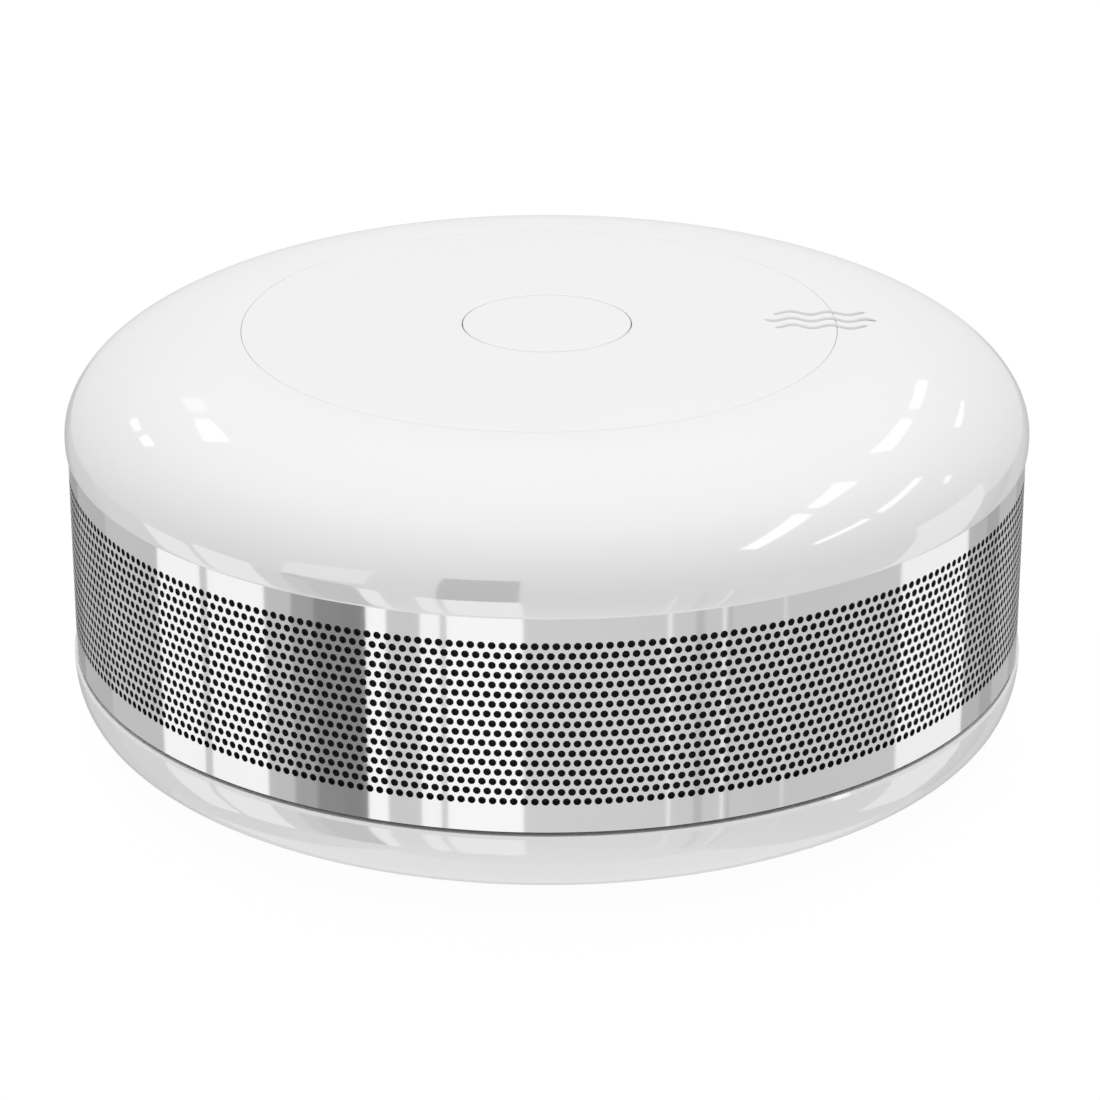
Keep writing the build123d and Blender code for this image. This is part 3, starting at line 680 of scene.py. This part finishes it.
def makeGrille():
    low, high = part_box("grille")
    radius = high.x
    pitch = math.tau * radius / band["holesAround"]
    rowPitch = band["rowPitch"] * mm
    firstRow = band["firstRow"] * mm
    near = pitch / 50
    lineCount = 2 * band["rows"] - 1
    columnHeight = lineCount * rowPitch / 2
    columnBottom = firstRow - rowPitch / 4
    columnTop = columnBottom + columnHeight
    deselect()
    bpy.ops.mesh.primitive_grid_add(
        x_subdivisions=4, y_subdivisions=lineCount, size=1,
        location=(pitch / 2, columnBottom + columnHeight / 2, 0),
    )
    piece = bpy.context.object
    piece.name = "perforatedBand"
    piece.data.name = "perforatedBand"
    piece.scale = (pitch, columnHeight, 1)
    settle(piece)
    # plain strips above and below the holes
    for level, edge in ((columnTop, high.z), (columnBottom, low.z + band["bottomGap"] * mm)):
        pick(piece, "VERT", lambda co: abs(co.y - level) < 1e-6)
        bpy.ops.mesh.extrude_edges_move(TRANSFORM_OT_translate={"value": (0, edge - level, 0)})
        bpy.ops.object.mode_set(mode="OBJECT")
    # squeeze each hole's corners on to a regular octagon
    short = band["holeRadius"] * mm * math.sin(math.radians(22.5))
    long = band["holeRadius"] * mm * math.cos(math.radians(22.5))
    innerScale = (short / (pitch / 8), long / (rowPitch / 4), 1)
    outerScale = (long / (pitch * 3 / 8), short / (rowPitch / 4), 1)

    def squeeze(center, middle, reach, scale):
        # a hole's corners that stand this far left and right of its middle
        def isCorner(co):
            return abs(abs(co.x - center) - reach) < near and abs(abs(co.y - middle) - rowPitch / 4) < near

        if pick(piece, "VERT", isCorner):
            bpy.ops.transform.resize(value=scale, center_override=(center, middle, 0))
        bpy.ops.object.mode_set(mode="OBJECT")

    for row in range(band["rows"]):
        middle = firstRow + row * rowPitch
        centers = (-pitch / 8, pitch * 7 / 8) if row % 2 == 0 else (pitch * 3 / 8, pitch * 11 / 8)
        for center in centers:
            squeeze(center, middle, pitch / 8, innerScale)
            squeeze(center, middle, pitch * 3 / 8, outerScale)

    def inHole(co):
        row = round((co.y - firstRow) / rowPitch)
        if not 0 <= row < band["rows"] or abs(co.y - firstRow - row * rowPitch) > near:
            return False
        web = pitch * 3 / 8 if row % 2 == 0 else pitch * 7 / 8
        return abs(co.x - web) > pitch / 20

    pick(piece, "FACE", inHole)
    bpy.ops.mesh.delete(type="FACE")
    bpy.ops.object.mode_set(mode="OBJECT")
    applyModifier(
        piece, "ARRAY", "columns", count=band["holesAround"], use_relative_offset=False,
        use_constant_offset=True, constant_offset_displace=(pitch, 0, 0),
        use_merge_vertices=True, merge_threshold=band["columnMerge"],
    )
    piece.rotation_euler = (math.radians(90), 0, 0)
    piece.location = (-math.pi * radius, 0, 0)
    settle(piece)
    applyModifier(piece, "SIMPLE_DEFORM", "round", deform_method="BEND", deform_axis="Z", angle=math.tau)
    across = [vertex.co.y for vertex in piece.data.vertices]
    piece.location = (0, -(min(across) + max(across)) / 2, 0)
    settle(piece)
    bpy.ops.object.mode_set(mode="EDIT")
    bpy.ops.mesh.select_all(action="SELECT")
    bpy.ops.mesh.remove_doubles(threshold=band["ringMerge"])
    bpy.ops.object.mode_set(mode="OBJECT")
    sample = piece.data.polygons[0]
    if sample.normal.dot(sample.center) < 0:
        bpy.ops.object.mode_set(mode="EDIT")
        bpy.ops.mesh.flip_normals()
        bpy.ops.object.mode_set(mode="OBJECT")
    applyModifier(piece, "SOLIDIFY", "wall", thickness=band["thickness"] * mm, offset=-1.0)
    smooth(piece, 30)
    finishPiece(piece, "head", "polished_steel", "grille")
    print("band has", sum(len(f.vertices) - 2 for f in piece.data.polygons), "triangles")


makeGrille()


# ---- return spring under the button

returnSpring = {
    "radius": 3.8,
    "wire": 0.15,
    "bottom": 22.22,
    "top": 26.58,
    "pitch": 1.2,
    "stepsPerTurn": 48,
    "keep": 0.93,             # share of its length left when the button is down
}


def makeReturnSpring():
    spring = returnSpring
    climb = spring["top"] - spring["bottom"] - 2 * spring["wire"]
    deselect()
    bpy.ops.mesh.primitive_circle_add(
        vertices=12, radius=spring["wire"] * mm, fill_type="NOTHING",
        location=(spring["radius"] * mm, 0, (spring["bottom"] + spring["wire"]) * mm),
        rotation=(math.radians(90), 0, 0),
    )
    piece = bpy.context.object
    piece.name = "returnSpring"
    piece.data.name = "returnSpring"
    settle(piece)
    turns = climb / spring["pitch"]
    steps = round(spring["stepsPerTurn"] * turns)
    applyModifier(
        piece, "SCREW", "coil", axis="Z", angle=math.tau * turns, screw_offset=climb * mm,
        steps=steps, render_steps=steps, use_merge_vertices=False,
    )
    bpy.ops.object.mode_set(mode="EDIT")
    bpy.ops.mesh.select_all(action="DESELECT")
    bpy.ops.mesh.select_mode(type="EDGE")
    bpy.ops.mesh.select_non_manifold(
        use_wire=False, use_multi_face=False, use_non_contiguous=False, use_verts=False
    )
    bpy.ops.mesh.fill_holes(sides=16)
    bpy.ops.mesh.select_all(action="SELECT")
    bpy.ops.mesh.normals_make_consistent(inside=False)
    bpy.ops.object.mode_set(mode="OBJECT")
    smooth(piece, 50)
    finishPiece(piece, "head", "spring_steel", "button_spring")
    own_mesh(piece)


makeReturnSpring()


# ---- smoke sign: three pale grey wavy strokes printed on the dome's right

sign = {
    "center": (18.4, 0.9),
    "length": 7.6,
    "spacing": 1.35,
    "outerShorter": 0.18,     # share by which the outer strokes are shorter
    "strokeWidth": 0.42,
    "columns": 48,
    "wave": 0.3,
    "waves": 3,
    "endSharpness": 14,       # higher keeps the full width nearer to the ends
    "endWidth": 0.02,
    "ink": (0.50, 0.50, 0.505, 1),
    "paleInk": (0.58, 0.58, 0.585, 1),
    "speckScale": 4000,
    "speckDepth": 0.000001,
    "roughness": 0.25,
    "roughnessSpread": 0.2,
    "shoulderFall": 0.02,     # how the dome drops away under the sign's outer end
    "lift": 0.008,
    "thickness": 0.01,
}


def domeSurface(radius):
    # height of the dome's outside, near enough as far out as the sign reaches
    pastCrown = max(0, radius - dome["crownEnd"])
    return crownHeight(radius) - sign["shoulderFall"] * pastCrown ** 2


def makeSmokeSign():
    material, wire = newFinish("signInk")
    speck = wire.noise(sign["speckScale"], 3)
    finishWith(
        material, wire,
        Base_Color=speck.blendColor(sign["ink"], sign["paleInk"]),
        Roughness=sign["roughness"] + sign["roughnessSpread"] * speck,
        Normal=speck.bump(sign["speckDepth"]),
    )
    strokes = []
    columns = sign["columns"]
    for index in range(3):
        y = sign["center"][1] + (index - 1) * sign["spacing"]
        length = sign["length"] * (1 - sign["outerShorter"] * abs(index - 1))
        deselect()
        bpy.ops.mesh.primitive_grid_add(x_subdivisions=columns, y_subdivisions=2, size=1)
        stroke = bpy.context.object
        stroke.scale = (length * mm, sign["strokeWidth"] * mm, 1)
        settle(stroke)
        for step in range(columns + 1):
            x = (step / columns - 0.5) * length
            rise = sign["wave"] * math.sin(math.tau * sign["waves"] * x / sign["length"])
            nearEnd = (2 * abs(x) / length) ** sign["endSharpness"]
            taper = min(1, math.sqrt(max(0, 1 - nearEnd)) + sign["endWidth"])
            pick(stroke, "VERT", lambda co: abs(co.x - x * mm) < length * mm / columns / 3)
            bpy.ops.transform.resize(value=(1, taper, 1), center_override=(x * mm, 0, 0))
            bpy.ops.transform.translate(value=(0, rise * mm, 0))
            bpy.ops.object.mode_set(mode="OBJECT")
        stroke.location = (sign["center"][0] * mm, y * mm, 0)
        settle(stroke)
        strokes.append(stroke)
    deselect()
    for stroke in strokes:
        stroke.select_set(True)
    bpy.context.view_layer.objects.active = strokes[0]
    bpy.ops.object.join()
    piece = bpy.context.object
    piece.name = "smokeSign"
    piece.data.name = "smokeSign"
    for vertex in piece.data.vertices:
        radius = math.hypot(vertex.co.x, vertex.co.y) / mm
        vertex.co.z = (domeSurface(radius) + sign["lift"]) * mm
    applyModifier(piece, "SOLIDIFY", "ink", thickness=sign["thickness"] * mm, offset=-1.0)
    smooth(piece, 30)
    piece.data.materials.clear()
    piece.data.materials.append(material)
    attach(piece, "head")


makeSmokeSign()
print("sign printed")


# ---- studio: pale floor, soft overhead light, and glowing panels that only mirrors see

studio = {
    "floorSize": 6.0,
    "floorGap": 0.0002,
    "floorTone": (0.085, 0.085, 0.085, 1),
    "floorDarkTone": (0.075, 0.075, 0.075, 1),
    "floorGrain": 40,
    "floorRoughness": 0.9,
    "floorShine": 0.1,
    "floorGlow": 0.92,        # bright enough to stay white, and to drown most of the shadow
    "skyAxis": (0, 0.5, 0.866),    # the sky is brightest this way
    "skyTones": ((0, 0.80), (0.08, 0.68), (0.17, 0.60), (0.40, 0.62),
                 (0.67, 0.72), (0.85, 0.83), (0.93, 0.94), (1, 1.0)),
    "panelDistance": 0.9,
    "panelTop": -8,
    "panelBottom": -42,
    "panelCorner": 0.03,      # corner radius in metres of panels brighter and wider than these
    "cornerBrightness": 0.9,
    "cornerWidth": 4,
    "overheadPower": 6.3,
    "overheadSize": 1.4,
    "overheadPlace": (0, 0.1, 1.1),
}

# upright panels below the skyline that stripe the band: first and last azimuth from the front,
# turning right, brightness, and the elevation of the top where it isn't the usual one
panels = [
    (-170, -163, 0.62),
    (-163, -150, 0.38),
    (-150, -128, 0.49),
    (-128, -103.2, 0.57),
    (-103.2, -88, 1.0, -9),
    (-85.6, -68.4, 1.0, -4.5),
    (-68.4, -61, 0.55),
    (-61, -55, 0.38),
    (-55, -48, 0.27),
    (-48, -42, 0.25),
    (-42, -37, 1.03, -6),
    (-29, -24.3, 1.0),
    (-22.9, -5.3, 1.03),
    (27.7, 28.6, 0.90),
    (34.3, 36.3, 0.52),
    (40.6, 41.6, 0.85),
    (42.2, 43, 0.50),
    (56.1, 56.8, 0.75),
    (90.3, 117, 0.95, 6),
    (117, 127, 0.50),
    (127, 135, 0.42),
    (135, 150, 0.53),
    (150, 166, 0.44),
]

# three bars across the skyline, which show under the dome's edge, and one flat below the floor
# for the base to mirror: corners as (azimuth, elevation), and brightness
bars = [
    (((-24, 28), (-6, 30), (-6, -6), (-24, -9)), 0.12),
    (((-60, 14), (-40, 26), (-40, 2), (-60, -4)), 0.85),
    (((-60, -4), (-43, -4), (-43, -11), (-60, -11)), 0.25),
    (((-45, -48), (45, -48), (135, -48), (-135, -48)), 0.85),
]

# small high windows that glint on the dome's shoulder: corners as (azimuth, elevation) to the
# nearest half degree, and brightness
glints = [
    (((-141.5, 25.5), (-143.5, 27), (-139.5, 29), (-138, 27.5)), 1.6),
    (((-135.5, 29), (-138, 31), (-134, 33), (-132.5, 30.5)), 1.8),
    (((-156, 30), (-159, 31.5), (-156.5, 34.5), (-153, 33.5)), 1.15),
    (((-151.5, 35.5), (-154, 36.5), (-148.5, 42.5), (-144, 40.5)), 1.6),
    (((153.5, 32.5), (159, 26.5), (157.5, 25.5), (152, 31.5)), 1.5),
    (((141, 44.5), (151.5, 35), (149, 34.5), (139, 41.5)), 1.5),
    (((140.5, 28.5), (148.5, 23.5), (148, 23), (139.5, 27)), 1.5),
    (((103, 56), (125.5, 52.5), (122.5, 49), (101.5, 53.5)), 1.5),
    (((55, 47), (96.5, 57), (94.5, 53), (57.5, 43.5)), 1.5),
    (((68.5, 33.5), (89, 37), (89, 34.5), (68, 31)), 1.5),
    (((94.5, 37.5), (117.5, 37), (117.5, 35), (94, 34.5)), 1.4),
    (((112, 25.5), (116.5, 27.5), (117, 25.5), (113, 24)), 1.4),
]


def glow(name, brightness):
    material = bpy.data.materials.new(name)
    material.use_nodes = True
    material.node_tree.nodes.clear()
    wire = Wire(material.node_tree)
    lamp = wire.make("ShaderNodeEmission", {}, {"Color": (1, 1, 1, 1), "Strength": brightness})
    wire.make("ShaderNodeOutputMaterial", {}, {"Surface": lamp})
    return material


def towards(azimuth, elevation):
    # a place at the panels' distance; azimuth 0 is the front, and it turns right
    a = math.radians(azimuth)
    e = math.radians(elevation)
    height = studio["panelDistance"] * math.sin(e)
    reach = studio["panelDistance"] * math.cos(e)
    return (reach * math.sin(a), -reach * math.cos(a), height)


def addPanel(name, corners, brightness, rounding=0):
    # a glowing quad whose corners are given as directions, one after the other round its edge
    deselect()
    bpy.ops.mesh.primitive_plane_add(size=1)
    panel = bpy.context.object
    panel.name = name
    for index, corner in zip((2, 3, 1, 0), corners):
        panel.data.vertices[index].co = towards(*corner)
    if rounding:
        bpy.ops.object.mode_set(mode="EDIT")
        bpy.ops.mesh.select_all(action="SELECT")
        bpy.ops.mesh.bevel(offset=rounding, affect="VERTICES", segments=6)
        bpy.ops.object.mode_set(mode="OBJECT")
    panel.data.materials.append(glow(name, brightness))
    panel.visible_camera = False
    panel.visible_shadow = False
    panel.visible_diffuse = False


def buildSky():
    world = bpy.data.worlds.new("studioWorld")
    world.use_nodes = True
    tree = world.node_tree
    tree.nodes.clear()
    wire = Wire(tree)
    place = wire.make("ShaderNodeTexCoord", output="Generated")
    towardsLight = wire.make(
        "ShaderNodeVectorMath", {"operation": "DOT_PRODUCT"}, {0: place, 1: studio["skyAxis"]},
        output="Value",
    )
    stops = [(position, (tone, tone, tone, 1)) for position, tone in studio["skyTones"]]
    ramp = wire.make("ShaderNodeValToRGB", {"stops": stops}, {0: towardsLight * 0.5 + 0.5})
    sky = wire.make("ShaderNodeBackground", {}, {"Color": ramp, "Strength": 1.0})
    wire.make("ShaderNodeOutputWorld", {}, {"Surface": sky})
    bpy.context.scene.world = world


def buildStudio():
    deselect()
    bpy.ops.mesh.primitive_plane_add(size=studio["floorSize"], location=(0, 0, -studio["floorGap"]))
    floor = bpy.context.object
    floor.name = "floor"
    material, wire = newFinish("floorPaper")
    grain = wire.noise(studio["floorGrain"], 3)
    paper = wire.make("ShaderNodeBsdfPrincipled", {}, {
        "Base Color": grain.blendColor(studio["floorTone"], studio["floorDarkTone"]),
        "Roughness": studio["floorRoughness"],
        "Specular IOR Level": studio["floorShine"],
        "Emission Color": (1, 1, 1, 1),
        "Emission Strength": studio["floorGlow"],
    })
    # seen from underneath the paper is clear, so the object's back can be looked at
    below = wire.make("ShaderNodeNewGeometry", output="Backfacing")
    clear = wire.make("ShaderNodeBsdfTransparent")
    sheet = wire.make("ShaderNodeMixShader", {}, {0: below, 1: paper, 2: clear})
    wire.make("ShaderNodeOutputMaterial", {}, {"Surface": sheet})
    floor.data.materials.append(material)
    floor.visible_glossy = False
    for index, (first, last, brightness, *top) in enumerate(panels):
        upper = top[0] if top else studio["panelTop"]
        lower = studio["panelBottom"]
        corners = ((first, upper), (last, upper), (last, lower), (first, lower))
        large = brightness > studio["cornerBrightness"] and last - first > studio["cornerWidth"]
        addPanel(f"panel{index}", corners, brightness, studio["panelCorner"] if large else 0)
    for index, (corners, brightness) in enumerate(bars):
        addPanel(f"bar{index}", corners, brightness)
    for index, (corners, brightness) in enumerate(glints):
        addPanel(f"glint{index}", corners, brightness)
    buildSky()
    deselect()
    bpy.ops.object.light_add(type="AREA", location=studio["overheadPlace"])
    overhead = bpy.context.object
    overhead.data.shape = "SQUARE"
    overhead.data.size = studio["overheadSize"]
    overhead.data.energy = studio["overheadPower"]
    overhead.visible_camera = False
    overhead.visible_glossy = False


buildStudio()

view = {
    "place": (0, -0.2587, 0.1204),
    "target": (0, 0, 0.01144),
    "lens": 133.8,
    "sensor": 36,
    "shift": 0.00285,
    "clipStart": 0.01,
}


def addCamera():
    deselect()
    bpy.ops.object.camera_add(location=view["place"])
    camera = bpy.context.object
    drop = view["place"][2] - view["target"][2]
    reach = view["target"][1] - view["place"][1]
    camera.rotation_euler = (math.atan2(reach, drop), 0, 0)
    camera.data.lens = view["lens"]
    camera.data.sensor_width = view["sensor"]
    camera.data.shift_x = view["shift"]
    camera.data.clip_start = view["clipStart"]
    bpy.context.scene.camera = camera


addCamera()
bpy.context.scene.view_settings.view_transform = "Standard"
print("studio lit")
